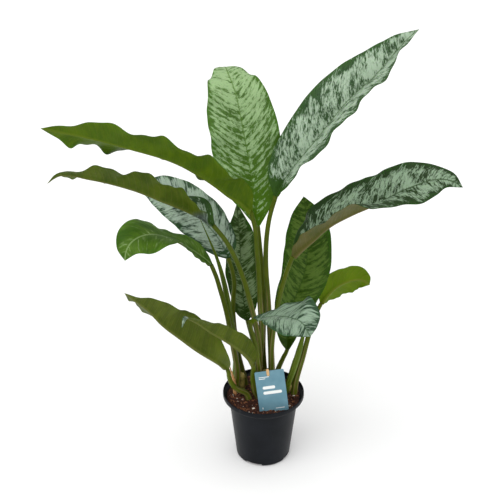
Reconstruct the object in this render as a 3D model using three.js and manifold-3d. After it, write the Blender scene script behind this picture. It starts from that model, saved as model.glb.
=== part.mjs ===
// A Chinese evergreen (Aglaonema) in a round plastic nursery pot, with a label card on a wooden stick.
// Millimetres, +Z up. The origin is the centre of the pot's flat underside. The plant's front faces -Y.

import * as THREE from "three";
import { mergeVertices } from "three/addons/utils/BufferGeometryUtils.js";
import Module from "manifold-3d";

const wasm = await Module();
wasm.setup();

// ---------------------------------------------------------------- driving dimensions

const POT_HEIGHT = 110;
const POT_WALL = 1.2;
const FLOOR_RADIUS = 40.5; // outside, where the rounded corner meets the wall
const CORNER_RADIUS = 4;
const SHOULDER_RADIUS = 50.4; // outside, where the wall starts to flare out to the rim
const RIM_RADIUS = 60;
const RIM_HEIGHT = 6.5; // the upright rim
const FLARE_HEIGHT = 10.5; // the curve that carries the wall out to the rim
const LIP_WIDTH = 2.4;
const LIP_HEIGHT = 1.6;
const POT_SEGMENTS = 36;

const DRAIN_COUNT = 4;
const DRAIN_WIDTH = 26;
const DRAIN_HEIGHT = 4.5;
const DRAIN_DEPTH = 7; // measured inwards from the floor's edge
const DRAIN_FIRST_ANGLE = -112;

const SOIL_BELOW_RIM = 8.5;
const SOIL_BUMP = 1;
const SOIL_RINGS = 5;

const FIT_GAP = 0.3; // between pieces that touch
const ROOT_GAP = 0.8; // between stalks that leave the soil side by side
const STALK_DEPTH = 12; // how far a leaf stalk goes down into the soil
const STALK_INWARD = 0.94; // its buried end's distance from the pot's axis, as a share of its place

const CANE_RADIUS = 6;
const CANE_DEPTH = 30;
const CANE_INWARD = 0.8;
const STALK_BASE_RADIUS = 5.2; // the sheathed foot of a leaf stalk
const STALK_RADIUS = 3.9; // halfway up
const STALK_TIP_RADIUS = 3; // where it becomes the midrib
const STALK_SIDES = 8;
const STALK_STEPS = 11;

const GROWTH = 1; // scales every leaf and stalk above the soil
const SPREAD_HEIGHT = 60; // above the soil: lower down, a bigger plant's stalks still stand in the same pot
const BLADE_THICKNESS = 1.2;
const MIDRIB_HALF_WIDTH = 2.2;
const MIDRIB_TIP_HEIGHT = 0.5;
const MARGIN_SHARE = 0.88; // how far out the blade keeps most of its thickness
const BLADE_ROWS = 14;

const CARD_WIDTH = 42.5;
const CARD_HEIGHT = 64;
const CARD_THICKNESS = 0.6;
const CARD_CORNER = 2;
const CARD_PLACE = { x: 15.5, y: -39.5, depth: 1 }; // the middle of its lower edge, just in the soil
const CARD_TURN = 2; // right-hand side towards the back
const CARD_LEAN = 12; // top towards the back
const CARD_ROLL = 7; // right-hand side up
const STICK_WIDTH = 3.8;
const STICK_THICKNESS = 1.4;
const STICK_LENGTH = 92;
const STICK_TILT = 15; // to the card
const STICK_SLOT_BELOW_TOP = 5; // where the stick goes through the card
const STICK_LEFT_OF_MIDDLE = 2;
const STICK_ABOVE_SLOT = 9;

const DRY_SHEATH_WIDTH = 4.6;
const DRY_SHEATH_THICKNESS = 1;

const SOIL_LEVEL = POT_HEIGHT - SOIL_BELOW_RIM;
const RIM_FOOT = POT_HEIGHT - RIM_HEIGHT;

// ---------------------------------------------------------------- the plant's plan

// The three canes of the clump. x and y are measured from the pot's axis, height from the soil.
const CANES = {
  left: { x: -33, y: 18, height: 26 },
  centre: { x: 3, y: 14, height: 34 },
  right: { x: 38, y: 12, height: 8 },
};

// Each leaf leaves the soil beside its cane: at an angle round it, in the first or second ring of stalks.
// stalk and blade are the points that its centre line goes through: x, y and height above the soil.
// The blade starts at the stalk's last point. upper is the way that its upper side faces, at even steps
// from its base to its tip. left and right are how far each half is folded up from flat, in degrees, at
// even steps again, as seen from the stalk with the upper side up. widest is where along it the blade is
// widest, and a high taper draws its tip out. A green leaf is plain, and the others are marked with silver.
const LEAVES = [
  {
    name: "centre_back",
    cane: "centre",
    angle: 90,
    ring: 1,
    stalk: [[-1, 26, 62], [0, 24, 149], [-3, 23, 199], [-9, 24, 267]],
    blade: [
      [-14, 40, 306], [-21, 54, 348], [-31, 70, 401], [-40, 86, 440], [-48, 104, 456], [-54, 130, 462],
      [-58, 165, 452],
    ],
    width: 98,
    upper: [[0, -1, 0.3], [0.1, -1, 0.6], [0, -0.3, 1]],
    left: [35, 15, 10, 0, -15],
    right: [35, 15, 10, 0, -15],
    taper: 1,
  },
  {
    name: "upper_right",
    cane: "centre",
    angle: 30,
    ring: 1,
    stalk: [[11, 18, 68], [6, 12, 156], [2, 10, 222], [5, 11, 275], [15, 14, 317]],
    blade: [
      [34, 20, 350], [70, 30, 394], [91, 38, 420], [115, 46, 447], [140, 52, 468], [186, 60, 521],
      [200, 60, 534],
    ],
    width: 92,
    upper: [[-0.4, -0.65, 0.65], [-0.4, -0.65, 0.65], [-0.4, -0.65, 0.65]],
    left: [40, 28, 15],
    right: [45, 42, 42],
  },
  {
    name: "right",
    cane: "centre",
    angle: -30,
    ring: 1,
    stalk: [[11, 3, 77], [16, 0, 133], [24, -3, 181], [31, -6, 211], [39, -8, 237]],
    blade: [
      [51, -10, 250], [66, -14, 266], [84, -20, 287], [114, -30, 310], [147, -40, 331], [174, -46, 350],
      [204, -52, 366], [228, -56, 372], [251, -60, 362],
    ],
    width: 86,
    upper: [[-0.4, 0, 1], [-0.4, -0.2, 1], [-0.3, -0.3, 0.9], [0, -0.6, 0.8], [0, -0.8, 0.7]],
    left: [45, 35, 20, 10, 5],
    right: [52, 46, 46, 54, 30, 8, 5],
  },
  {
    name: "upper_left",
    cane: "centre",
    angle: 150,
    ring: 1,
    stalk: [[-8, 16, 36], [-3, 8, 91], [-6, 1, 162], [-10, -8, 239], [-19, -15, 307]],
    blade: [
      [-49, -33, 341], [-75, -52, 370], [-106, -72, 398], [-130, -88, 415], [-155, -104, 429],
      [-179, -120, 443], [-216, -142, 462], [-257, -160, 478],
    ],
    width: 84,
    upper: [[0, 0.4, 0.9], [0, 0.35, 0.9], [0, 0.4, 0.9], [0, 0.7, 0.6], [0.1, 1, 0.1]],
    left: [50, 15, 15, 10, 5],
    right: [50, 20, 15, 10, 5],
  },
  {
    name: "left",
    cane: "centre",
    angle: -150,
    ring: 1,
    stalk: [[-7, -2, 89], [-17, -8, 151], [-30, -15, 208], [-47, -25, 258], [-69, -35, 297]],
    blade: [
      [-99, -48, 324], [-130, -64, 345], [-161, -80, 366], [-196, -98, 385], [-223, -112, 397],
      [-245, -122, 405], [-262, -132, 398],
    ],
    width: 76,
    upper: [[0.2, -0.6, 0.8], [0, 0.45, 0.9], [0, 0.45, 0.9], [0, 0.45, 0.9], [0, 0.6, 0.6]],
    left: [30, 15, 25, 25, 10],
    right: [50, 30, 20, 15, 10],
  },
  {
    name: "left_behind",
    cane: "left",
    angle: 60,
    ring: 1,
    stalk: [[-39, 30, 60], [-45, 32, 128], [-43, 34, 177], [-51, 36, 211]],
    blade: [[-60, 40, 232], [-81, 50, 257], [-111, 62, 281], [-146, 76, 297], [-184, 92, 299]],
    width: 66,
    upper: [[0, -0.9, 0.45], [0, -0.9, 0.45], [0, -0.9, 0.45]],
    left: [20, 12, 10],
    right: [20, 12, 10],
  },
  {
    name: "dark_upright",
    cane: "centre",
    angle: 120,
    ring: 2,
    stalk: [[-14, 42, 61], [-24, 48, 101]],
    blade: [[-29, 52, 128], [-33, 62, 178], [-35, 72, 222], [-39, 82, 275]],
    width: 54,
    upper: [[0.3, -1, 0.3], [0.3, -1, 0.3], [0.3, -1, 0.3]],
    left: [30, 20, 15],
    right: [30, 20, 15],
  },
  {
    name: "right_behind",
    cane: "centre",
    angle: 50,
    ring: 2,
    stalk: [[22, 36, 20], [30, 42, 38], [36, 44, 52]],
    blade: [[36, 47, 86], [46, 54, 132], [61, 62, 178], [64, 70, 223], [61, 78, 259], [57, 84, 286]],
    width: 72,
    upper: [[0, -1, 0.3], [0, -1, 0.3], [0, -1, 0.3]],
    left: [30, 15, 10],
    right: [30, 15, 10],
    widest: 0.6,
    taper: 0.45,
    green: true,
  },
  {
    name: "right_low",
    cane: "right",
    angle: -50,
    ring: 1,
    stalk: [[48, 6, 21], [58, 12, 60], [67, 30, 87], [77, 49, 109], [86, 62, 121]],
    blade: [[98, 72, 133], [114, 80, 143], [134, 84, 149], [148, 84, 149], [159, 80, 143]],
    width: 53,
    upper: [[-0.2, 1, 0.2], [-0.2, 1, 0.2], [-0.2, 1, 0.2]],
    left: [20, 8, 5],
    right: [20, 8, 5],
    widest: 0.56,
    taper: 0.5,
    green: true,
  },
  {
    name: "front",
    cane: "centre",
    angle: -90,
    ring: 1,
    stalk: [[-7, -12, 50], [-11, -18, 92], [-19, -22, 142]],
    blade: [[-3, -36, 155], [17, -56, 170], [35, -78, 180], [49, -94, 182], [60, -100, 164]],
    width: 74,
    upper: [[0, -0.25, 1], [0, -0.25, 1], [0.3, -1, 0.3]],
    left: [15, 5, 20],
    right: [35, 15, 18, 10],
    widest: 0.68,
  },
  {
    name: "lower_left",
    cane: "centre",
    angle: -135,
    ring: 3,
    stalk: [[-25, -9, 9], [-41, -14, 22], [-49, -17, 38], [-53, -20, 60]],
    blade: [
      [-68, -30, 80], [-94, -45, 108], [-116, -62, 138], [-137, -80, 169], [-154, -98, 203],
      [-180, -120, 242],
    ],
    width: 82,
    upper: [[0.5, -0.3, 0.8], [0, 0.45, 0.9], [0, 0.6, 0.8], [0, 0.6, 0.8], [0, 0.6, 0.8]],
    left: [50, 40, 10],
    right: [50, 45, 10],
    taper: 0.8,
  },
  {
    name: "low_centre",
    cane: "centre",
    angle: -118,
    ring: 2,
    stalk: [[-13, -12, 17], [-16, -18, 43], [-16, -25, 70]],
    blade: [
      [-28, -38, 97], [-46, -55, 124], [-76, -82, 162], [-91, -96, 183], [-104, -107, 195],
      [-109, -114, 186],
    ],
    width: 47,
    upper: [[0, 0.45, 0.9], [0, 0.45, 0.9], [0, 0.45, 0.9]],
    left: [50, 40, 10],
    right: [50, 45, 10],
  },
  {
    name: "left_arching",
    cane: "left",
    angle: -130,
    ring: 1,
    stalk: [[-39, 10, 36], [-46, 8, 90], [-54, 5, 142], [-64, 3, 185], [-74, 2, 218]],
    blade: [
      [-92, -4, 239], [-106, -12, 254], [-121, -22, 269], [-137, -32, 280], [-151, -42, 287],
      [-163, -50, 288], [-173, -57, 285], [-181, -63, 276], [-184, -68, 261],
    ],
    width: 66,
    upper: [[0, -0.3, 1], [0, -0.3, 1], [0, 0, 1], [-0.2, -0.6, 0.8], [-0.6, -0.8, 0.1]],
    left: [25, 5, 10, 0, 0],
    right: [25, 5, 0, 0, 0],
    widest: 0.62,
    taper: 0.45,
    green: true,
  },
];

// Young leaves, still rolled up: a spear from the soil to its tip.
const SPEARS = [
  {
    name: "left",
    cane: "left",
    angle: 175,
    ring: 1,
    points: [
      [-41, 20, 71], [-48, 18, 123], [-56, 15, 177], [-65, 10, 220], [-76, 4, 256], [-92, -4, 303],
    ],
    radius: 3.7,
  },
  {
    name: "right",
    cane: "right",
    angle: -125,
    ring: 1,
    points: [[35.5, 0.5, 16], [47, 2, 57], [57, 3, 103], [64, 5, 138]],
    radius: 4.4,
  },
];

// The first point is where it leaves the soil.
const DRY_SHEATH_POINTS = [[-42, 3, 0], [-44, 2, 20], [-55, 0, 54]];

// ---------------------------------------------------------------- materials

function plainMaterial(name, color, roughness) {
  return new THREE.MeshStandardMaterial({ name, color, roughness, metalness: 0 });
}

const potPlastic = () => plainMaterial("pot_plastic", 0x1c1d1f, 0.45);
const pottingSoil = () => plainMaterial("potting_soil", 0x33201a, 0.95);
const silverLeaf = () => plainMaterial("silver_leaf", 0x8fa58b, 0.5);
const greenLeaf = () => plainMaterial("green_leaf", 0x37560f, 0.5);
const stalkGreen = () => plainMaterial("leaf_stalk", 0x5d7416, 0.5);
const caneBark = () => plainMaterial("cane", 0x9a8a4c, 0.7);
const drySheath = () => plainMaterial("dry_sheath", 0xb9793a, 0.8);
const labelCard = () => plainMaterial("label_card", 0x6e9baf, 0.6);
const stickWood = () => plainMaterial("stick_wood", 0xd9bf94, 0.7);

// ---------------------------------------------------------------- helpers

const toRadians = THREE.MathUtils.degToRad;
const mix = THREE.MathUtils.lerp;

function smoothstep(x, from, to) {
  return THREE.MathUtils.smoothstep(x, from, to);
}

// Reads a list of values that are spread evenly along a length, at a share s of it.
function along(values, s) {
  const place = Math.min(Math.max(s, 0), 1) * (values.length - 1);
  const first = Math.min(Math.floor(place), values.length - 2);
  return mix(values[first], values[first + 1], place - first);
}

function directionAlong(directions, s) {
  const axes = [0, 1, 2].map((axis) => along(directions.map((direction) => direction[axis]), s));
  return new THREE.Vector3(...axes);
}

// A closed skin over rings of points that turn anticlockwise about the way the rings advance. From the
// ring's point number turned on, each four-sided face is split the other way, so that the two sides of a
// thin blade follow each other exactly.
function loft(rings, startCentre, endCentre, turned = Infinity) {
  const size = rings[0].length;
  const points = [...rings.flat(), startCentre, endCentre];
  const startIndex = points.length - 2;
  const endIndex = points.length - 1;
  const faces = [];
  for (let j = 0; j < size; j++) {
    const next = (j + 1) % size;
    faces.push(startIndex, next, j);
    for (let i = 0; i + 1 < rings.length; i++) {
      const low = i * size;
      const high = low + size;
      if (j < turned) {
        faces.push(low + j, low + next, high + next);
        faces.push(low + j, high + next, high + j);
      } else {
        faces.push(low + j, low + next, high + j);
        faces.push(low + next, high + next, high + j);
      }
    }
    const last = (rings.length - 1) * size;
    faces.push(endIndex, last + j, last + next);
  }
  return new THREE.BufferGeometry().setFromPoints(points).setIndex(faces);
}

function meanPoint(ring) {
  const sum = new THREE.Vector3();
  ring.forEach((point) => sum.add(point));
  return sum.divideScalar(ring.length);
}

function toSolid(geometry) {
  const bare = geometry.clone();
  bare.deleteAttribute("normal");
  bare.deleteAttribute("uv");
  const merged = mergeVertices(bare, 1e-4);
  return new wasm.Manifold(
    new wasm.Mesh({
      numProp: 3,
      vertProperties: new Float32Array(merged.attributes.position.array),
      triVerts: new Uint32Array(merged.index.array),
    }),
  );
}

function toGeometry(solid) {
  const mesh = solid.getMesh();
  return new THREE.BufferGeometry()
    .setAttribute("position", new THREE.BufferAttribute(mesh.vertProperties, 3))
    .setIndex(new THREE.BufferAttribute(mesh.triVerts, 1));
}

// A LatheGeometry turns about +Y, so it is stood up to turn about +Z.
function lathe(profile, segments) {
  const points = profile.map(([radius, height]) => new THREE.Vector2(radius, height));
  return new THREE.LatheGeometry(points, segments).rotateX(Math.PI / 2);
}

function named(name, geometry, material) {
  geometry.computeVertexNormals();
  const mesh = new THREE.Mesh(geometry, material);
  mesh.name = name;
  return mesh;
}

// A round stem along a curve, from one share of its length to another. radiusAt takes 0 to 1 along it.
function stem(curve, from, to, steps, radiusAt, flatness = 1) {
  const rings = [];
  const across = new THREE.Vector3(1, 0, 0);
  for (let i = 0; i <= steps; i++) {
    const u = mix(from, to, i / steps);
    const centre = curve.getPointAt(u);
    const ahead = curve.getTangentAt(u);
    across.addScaledVector(ahead, -across.dot(ahead)).normalize();
    const beside = ahead.clone().cross(across);
    const radius = radiusAt(i / steps);
    const ring = [];
    for (let k = 0; k < STALK_SIDES; k++) {
      const turn = (2 * Math.PI * (k + 0.5)) / STALK_SIDES;
      ring.push(
        centre
          .clone()
          .addScaledVector(across, radius * Math.cos(turn))
          .addScaledVector(beside, flatness * radius * Math.sin(turn)),
      );
    }
    rings.push(ring);
  }
  return loft(rings, meanPoint(rings[0]), meanPoint(rings[steps]));
}

// ---------------------------------------------------------------- pot

// The outside of the pot as radius and height, from the middle of its floor to the foot of its rim.
function outsideProfile() {
  const points = [[0, 0]];
  for (let k = 0; k <= 3; k++) {
    const turn = ((k / 3) * Math.PI) / 2;
    points.push([
      FLOOR_RADIUS - CORNER_RADIUS * (1 - Math.sin(turn)),
      CORNER_RADIUS * (1 - Math.cos(turn)),
    ]);
  }
  for (let k = 0; k <= 4; k++) {
    const share = k / 4;
    points.push([
      mix(SHOULDER_RADIUS, RIM_RADIUS, share * share),
      RIM_FOOT - FLARE_HEIGHT * (1 - share),
    ]);
  }
  return points;
}

// The same outline moved inwards, square to itself.
function insetProfile(points, inset) {
  return points.map(([radius, height], k) => {
    const before = points[Math.max(k - 1, 0)];
    const after = points[Math.min(k + 1, points.length - 1)];
    const run = after[0] - before[0];
    const rise = after[1] - before[1];
    const length = Math.hypot(run, rise);
    return [Math.max(radius - (inset * rise) / length, 0), height + (inset * run) / length];
  });
}

// The part of a rising outline that is below a level, ending on it.
function cutAt(points, level) {
  const above = points.findIndex(([, height]) => height > level);
  const [low, high] = [points[above - 1], points[above]];
  const share = (level - low[1]) / (high[1] - low[1]);
  return [...points.slice(0, above), [mix(low[0], high[0], share), level]];
}

function insideRadiusAt(level) {
  const [radius] = cutAt(insetProfile(outsideProfile(), POT_WALL), level).at(-1);
  return radius;
}

function drainCutters() {
  const cutters = [];
  for (let k = 0; k < DRAIN_COUNT; k++) {
    const angle = DRAIN_FIRST_ANGLE + (360 * k) / DRAIN_COUNT;
    const reach = DRAIN_DEPTH + 2 * CORNER_RADIUS;
    const box = new THREE.BoxGeometry(reach, DRAIN_WIDTH, 2 * DRAIN_HEIGHT)
      .translate(FLOOR_RADIUS - DRAIN_DEPTH + reach / 2, 0, 0)
      .rotateZ(toRadians(angle));
    cutters.push(toSolid(box));
  }
  return cutters;
}

function makePot() {
  const outside = outsideProfile();
  const inside = insetProfile(outside, POT_WALL).reverse();
  const lip = [
    [RIM_RADIUS, POT_HEIGHT - LIP_HEIGHT / 2],
    [RIM_RADIUS - 0.6, POT_HEIGHT],
    [RIM_RADIUS - LIP_WIDTH, POT_HEIGHT],
    [RIM_RADIUS - LIP_WIDTH, POT_HEIGHT - LIP_HEIGHT],
    [RIM_RADIUS - POT_WALL - 0.4, POT_HEIGHT - 2 * LIP_HEIGHT],
  ];
  let solid = toSolid(lathe([...outside, ...lip, ...inside], POT_SEGMENTS));
  for (const cutter of drainCutters()) {
    solid = solid.subtract(cutter);
  }
  return named("pot", toGeometry(solid), potPlastic());
}

// ---------------------------------------------------------------- plant

function aboveSoil([x, y, height]) {
  const spread = mix(1, GROWTH, smoothstep(height, 0, SPREAD_HEIGHT));
  return new THREE.Vector3(x * spread, y * spread, SOIL_LEVEL + height * GROWTH);
}

// A stem's place at a level in the pot, moved towards the axis where it would run into the wall.
function clearOfWall(place, radius, level) {
  const wall = insideRadiusAt(level) * Math.cos(Math.PI / POT_SEGMENTS);
  return place.clone().clampLength(0, wall - radius - FIT_GAP);
}

// Where a stalk leaves the soil, beside its cane.
function rootOf(plan, radius) {
  const cane = CANES[plan.cane];
  const reach = CANE_RADIUS + radius + ROOT_GAP + (plan.ring - 1) * (2 * radius + ROOT_GAP);
  const angle = toRadians(plan.angle);
  const root = new THREE.Vector2(cane.x + reach * Math.cos(angle), cane.y + reach * Math.sin(angle));
  return clearOfWall(root, radius, SOIL_LEVEL);
}

function curveThrough(points) {
  const curve = new THREE.CatmullRomCurve3(points, false, "centripetal");
  curve.arcLengthDivisions = (points.length - 1) * 40;
  return curve;
}

// A stem's two points in the soil: its buried end is nearer the pot's axis, where the roots are.
function buriedPoints(root, radius, depth, inward) {
  const place = new THREE.Vector2(root.x, root.y).multiplyScalar(inward);
  const end = clearOfWall(place, radius, SOIL_LEVEL - depth);
  return [
    new THREE.Vector3(end.x, end.y, SOIL_LEVEL - depth),
    new THREE.Vector3(root.x, root.y, SOIL_LEVEL),
  ];
}

// The centre line of a leaf: down in the soil, up its stalk and out along its blade.
function leafLine(plan) {
  const points = [
    ...buriedPoints(rootOf(plan, STALK_BASE_RADIUS), STALK_BASE_RADIUS, STALK_DEPTH, STALK_INWARD),
    ...[...plan.stalk, ...plan.blade].map(aboveSoil),
  ];
  const curve = curveThrough(points);
  const lengths = curve.getLengths();
  const total = lengths[lengths.length - 1];
  return { curve, total, joint: lengths[(plan.stalk.length + 1) * 40] / total };
}

function stalkRadius(s) {
  return along([STALK_BASE_RADIUS, STALK_RADIUS, STALK_TIP_RADIUS], s);
}

function stalkGeometry(plan, extra = 0) {
  const { curve, total, joint } = leafLine(plan);
  const end = joint - FIT_GAP / 2 / total;
  return stem(curve, 0, end, STALK_STEPS, (s) => stalkRadius(s) + extra);
}

// Half the blade's width along it, as a share of the widest: an oval with a drawn-out tip.
function bladeOutline(s, { widest = 0.44, taper = 0.7 }) {
  const rise = (taper * widest) / (1 - widest);
  const oval = Math.pow(s / widest, rise) * Math.pow((1 - s) / (1 - widest), taper);
  return oval * (1 - 0.3 * smoothstep(s, 0.78, 0.97));
}

// One cross-section of the blade: over the top from left to right, and back underneath.
function bladeSection(plan, centre, ahead, s) {
  const up = directionAlong(plan.upper, s);
  up.addScaledVector(ahead, -up.dot(ahead)).normalize();
  const right = ahead.clone().cross(up);
  const halfWidth = Math.max(
    (plan.width / 2) * GROWTH * bladeOutline(s, plan),
    STALK_TIP_RADIUS * (1 - s),
  );
  const ribShare = Math.min(MIDRIB_HALF_WIDTH / halfWidth, 0.3);
  const shares = [ribShare, mix(ribShare, 1, 0.4), mix(ribShare, 1, MARGIN_SHARE), 1];
  const ribHeight = mix(2 * STALK_TIP_RADIUS - BLADE_THICKNESS, MIDRIB_TIP_HEIGHT, Math.sqrt(s));
  const top = [centre.clone()];
  const bottom = [centre.clone().addScaledVector(up, -(BLADE_THICKNESS + ribHeight) * (1 - 0.6 * s))];
  for (const side of ["left", "right"]) {
    const way = side === "left" ? -1 : 1;
    const angle = toRadians(along(plan[side], s));
    const outwards = right
      .clone()
      .multiplyScalar(way * Math.cos(angle))
      .addScaledVector(up, Math.sin(angle));
    for (const share of shares) {
      const point = centre.clone().addScaledVector(outwards, share * halfWidth);
      const thickness = BLADE_THICKNESS * (1 - 0.5 * share * share) * (1 - 0.3 * s);
      const under = point
        .clone()
        .addScaledVector(up, -thickness * Math.cos(angle))
        .addScaledVector(right, way * thickness * Math.sin(angle));
      if (side === "left") {
        top.unshift(point);
        if (share < 1) bottom.push(under);
      } else {
        top.push(point);
        if (share < 1) bottom.unshift(under);
      }
    }
  }
  return [...top, ...bottom];
}

function makeBlade(plan) {
  const { curve, total, joint } = leafLine(plan);
  const start = joint + FIT_GAP / 2 / total;
  const rings = [];
  for (let i = 0; i < BLADE_ROWS; i++) {
    const s = i / BLADE_ROWS;
    const u = mix(start, 1, s);
    rings.push(bladeSection(plan, curve.getPointAt(u), curve.getTangentAt(u), s));
  }
  const skin = loft(rings, meanPoint(rings[0]), curve.getPointAt(1), rings[0].length / 2);
  return named("leaf_" + plan.name, skin, plan.green ? greenLeaf() : silverLeaf());
}

function makeStalk(plan) {
  return named("stalk_" + plan.name, stalkGeometry(plan), stalkGreen());
}

function spearGeometry(plan, extra = 0) {
  const points = [
    ...buriedPoints(rootOf(plan, plan.radius), plan.radius, STALK_DEPTH, STALK_INWARD),
    ...plan.points.map(aboveSoil),
  ];
  const radiusAt = (s) => plan.radius * (1 - 0.92 * smoothstep(s, 0.5, 1)) + extra;
  return stem(curveThrough(points), 0, 1, STALK_STEPS + 3, radiusAt);
}

function makeSpear(plan) {
  return named("spear_" + plan.name, spearGeometry(plan), greenLeaf());
}

function caneGeometry(cane, extra = 0) {
  const curve = curveThrough([
    ...buriedPoints(cane, CANE_RADIUS, CANE_DEPTH, CANE_INWARD),
    new THREE.Vector3(cane.x, cane.y, SOIL_LEVEL + cane.height * GROWTH),
  ]);
  return stem(curve, 0, 1, 5, () => CANE_RADIUS + extra);
}

function makeCane(side) {
  return named("cane_" + side, caneGeometry(CANES[side]), caneBark());
}

// The dry brown sheath of a leaf that has gone, still standing beside the left cane.
function drySheathGeometry(extra = 0) {
  const [foot, ...rest] = DRY_SHEATH_POINTS;
  const root = new THREE.Vector2(foot[0], foot[1]);
  const points = [...buriedPoints(root, DRY_SHEATH_WIDTH / 2, 6, STALK_INWARD)];
  points.push(...rest.map(aboveSoil));
  const radiusAt = (s) => (DRY_SHEATH_WIDTH / 2) * (1 - 0.85 * smoothstep(s, 0.3, 1)) + extra;
  const flatness = (DRY_SHEATH_THICKNESS + 2 * extra) / (DRY_SHEATH_WIDTH + 2 * extra);
  return stem(curveThrough(points), 0, 1, 6, radiusAt, flatness);
}

function makeDrySheath() {
  return named("dry_sheath", drySheathGeometry(), drySheath());
}

// ---------------------------------------------------------------- label

// The label's own frame: x across the card, z up it from the middle of its lower edge, y to its back.
function placedCard(geometry) {
  const place = new THREE.Object3D();
  place.rotation.set(toRadians(-CARD_LEAN), toRadians(-CARD_ROLL), toRadians(CARD_TURN), "ZXY");
  place.position.set(CARD_PLACE.x, CARD_PLACE.y, SOIL_LEVEL - CARD_PLACE.depth);
  place.updateMatrix();
  return geometry.applyMatrix4(place.matrix);
}

function roundedPlate(width, height, radius, thickness) {
  const x = width / 2;
  const outline = new THREE.Shape();
  outline.moveTo(-x + radius, 0);
  outline.lineTo(x - radius, 0);
  outline.absarc(x - radius, radius, radius, -Math.PI / 2, 0);
  outline.lineTo(x, height - radius);
  outline.absarc(x - radius, height - radius, radius, 0, Math.PI / 2);
  outline.lineTo(-x + radius, height);
  outline.absarc(-x + radius, height - radius, radius, Math.PI / 2, Math.PI);
  outline.lineTo(-x, radius);
  outline.absarc(-x + radius, radius, radius, Math.PI, 1.5 * Math.PI);
  const options = { depth: thickness, bevelEnabled: false, curveSegments: 4 };
  return new THREE.ExtrudeGeometry(outline, options)
    .translate(0, 0, -thickness / 2)
    .rotateX(Math.PI / 2);
}

function cardBlank(extra = 0) {
  const blank = roundedPlate(
    CARD_WIDTH + 2 * extra,
    CARD_HEIGHT + 2 * extra,
    CARD_CORNER,
    CARD_THICKNESS + 2 * extra,
  );
  return blank.translate(0, 0, -extra);
}

// The stick has a round top. It stands behind the card and comes out through a slot near the card's top.
function stickBlank(extra = 0) {
  const width = STICK_WIDTH + 2 * extra;
  return roundedPlate(width, STICK_LENGTH + 2 * extra, 0.48 * width, STICK_THICKNESS + 2 * extra)
    .translate(0, 0, STICK_ABOVE_SLOT - STICK_LENGTH - extra)
    .rotateX(toRadians(STICK_TILT))
    .translate(-STICK_LEFT_OF_MIDDLE, 0, CARD_HEIGHT - STICK_SLOT_BELOW_TOP);
}

function makeCard() {
  const solid = toSolid(placedCard(cardBlank())).subtract(toSolid(placedCard(stickBlank(FIT_GAP))));
  return named("label_card", toGeometry(solid), labelCard());
}

function makeStick() {
  return named("label_stick", placedCard(stickBlank()), stickWood());
}

// ---------------------------------------------------------------- soil

function soilProfile() {
  const wall = cutAt(insetProfile(outsideProfile(), POT_WALL + FIT_GAP), SOIL_LEVEL);
  const edge = wall[wall.length - 1][0];
  const top = [];
  for (let k = SOIL_RINGS - 1; k >= 0; k--) {
    top.push([(edge * k) / SOIL_RINGS, SOIL_LEVEL]);
  }
  return [...wall, ...top];
}

// Small heaps and hollows in the surface, nothing at the pot's wall.
function raiseBumps(geometry) {
  const position = geometry.attributes.position;
  const edge = SHOULDER_RADIUS;
  for (let i = 0; i < position.count; i++) {
    const x = position.getX(i);
    const y = position.getY(i);
    const z = position.getZ(i);
    if (z < SOIL_LEVEL - 0.01) continue;
    const fade = 1 - smoothstep(Math.hypot(x, y), 0.8 * edge, edge);
    const bump = Math.sin(x * 0.23 + 1.3) * Math.cos(y * 0.19 - 0.4) + 0.5 * Math.sin((x + y) * 0.31);
    position.setZ(i, z + SOIL_BUMP * fade * bump);
  }
  return geometry;
}

function makeSoil() {
  let solid = toSolid(raiseBumps(lathe(soilProfile(), POT_SEGMENTS)));
  const buried = [
    ...Object.values(CANES).map((cane) => caneGeometry(cane, FIT_GAP)),
    ...LEAVES.map((plan) => stalkGeometry(plan, FIT_GAP)),
    ...SPEARS.map((plan) => spearGeometry(plan, FIT_GAP)),
    drySheathGeometry(FIT_GAP),
    placedCard(cardBlank(FIT_GAP)),
    placedCard(stickBlank(FIT_GAP)),
  ];
  for (const geometry of buried) {
    solid = solid.subtract(toSolid(geometry));
  }
  return named("soil", toGeometry(solid), pottingSoil());
}

// ---------------------------------------------------------------- the whole object

const plant = new THREE.Group();
plant.add(makePot(), makeSoil());
Object.keys(CANES).forEach((side) => plant.add(makeCane(side)));
for (const plan of LEAVES) {
  plant.add(makeStalk(plan), makeBlade(plan));
}
SPEARS.forEach((plan) => plant.add(makeSpear(plan)));
plant.add(makeDrySheath(), makeCard(), makeStick());

export default plant;
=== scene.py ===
"""A Chinese evergreen in a nursery pot: the looks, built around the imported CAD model.

Every leaf, stalk and cane is rebuilt as a fine, smooth mesh on the rings of points that its CAD
solid is made of, so each keeps its place, length, width and bend. Metres, +Z up, front faces -Y.
"""

import math

import bmesh
import bpy
import numpy as np
from mathutils import Matrix, Vector, noise


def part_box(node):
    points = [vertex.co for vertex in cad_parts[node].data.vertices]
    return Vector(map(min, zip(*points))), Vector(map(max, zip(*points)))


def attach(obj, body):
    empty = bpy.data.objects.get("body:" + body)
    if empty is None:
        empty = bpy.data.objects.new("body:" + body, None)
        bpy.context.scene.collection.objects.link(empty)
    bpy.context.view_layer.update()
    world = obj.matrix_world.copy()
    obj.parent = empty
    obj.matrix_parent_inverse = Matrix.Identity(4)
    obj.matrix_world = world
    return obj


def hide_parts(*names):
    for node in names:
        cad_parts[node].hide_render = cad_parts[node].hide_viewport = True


MM = 0.001
BODY = "root"
MERGE = 0.005 * MM  # CAD points closer than this are one point

# The camera stands where the photograph's did: in front and above, looking 27 degrees down.
CAMERA_PLACE = (-0.020, -1.229, 0.970)
CAMERA_DOWN_DEGREES = 27.0
CAMERA_LENS_MM = 72.0

BLADE_RING = 16  # points in a blade's CAD ring, over the top from left to right and back underneath
TOP_CENTRE, RIGHT_MARGIN, KEEL = 4, 8, 12

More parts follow.
